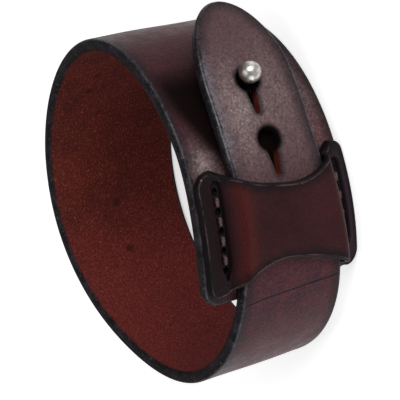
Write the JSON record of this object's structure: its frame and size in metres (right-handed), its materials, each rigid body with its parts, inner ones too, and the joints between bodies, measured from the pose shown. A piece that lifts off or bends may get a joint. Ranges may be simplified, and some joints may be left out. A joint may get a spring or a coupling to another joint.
{
  "type": "cuff bracelet",
  "caption": "Wide leather cuff bracelet whose narrowing strap passes under a sewn hourglass keeper and buttons by a keyhole onto a ball stud.",
  "frame": {"origin": "middle of the underside of the bounding box, on the plane that the lower rim rests on", "axes": "+Z along the axis of the loop, +X towards the tip of the tongue, -Y towards the keeper and the ball stud"},
  "size_m": [0.072, 0.0772, 0.033],
  "materials": {
    "strap_leather": "semi-gloss burgundy-brown grain side, matte red-brown flesh side, burnished near-black edges",
    "keeper_leather": "semi-gloss dark burgundy grain side with burnished near-black edges",
    "stud_metal": "satin nickel with small marks"
  },
  "bodies": {
    "root": {"band": "strap_leather", "keeper": "keeper_leather", "ball_stud": "stud_metal"}
  },
  "joints": []
}
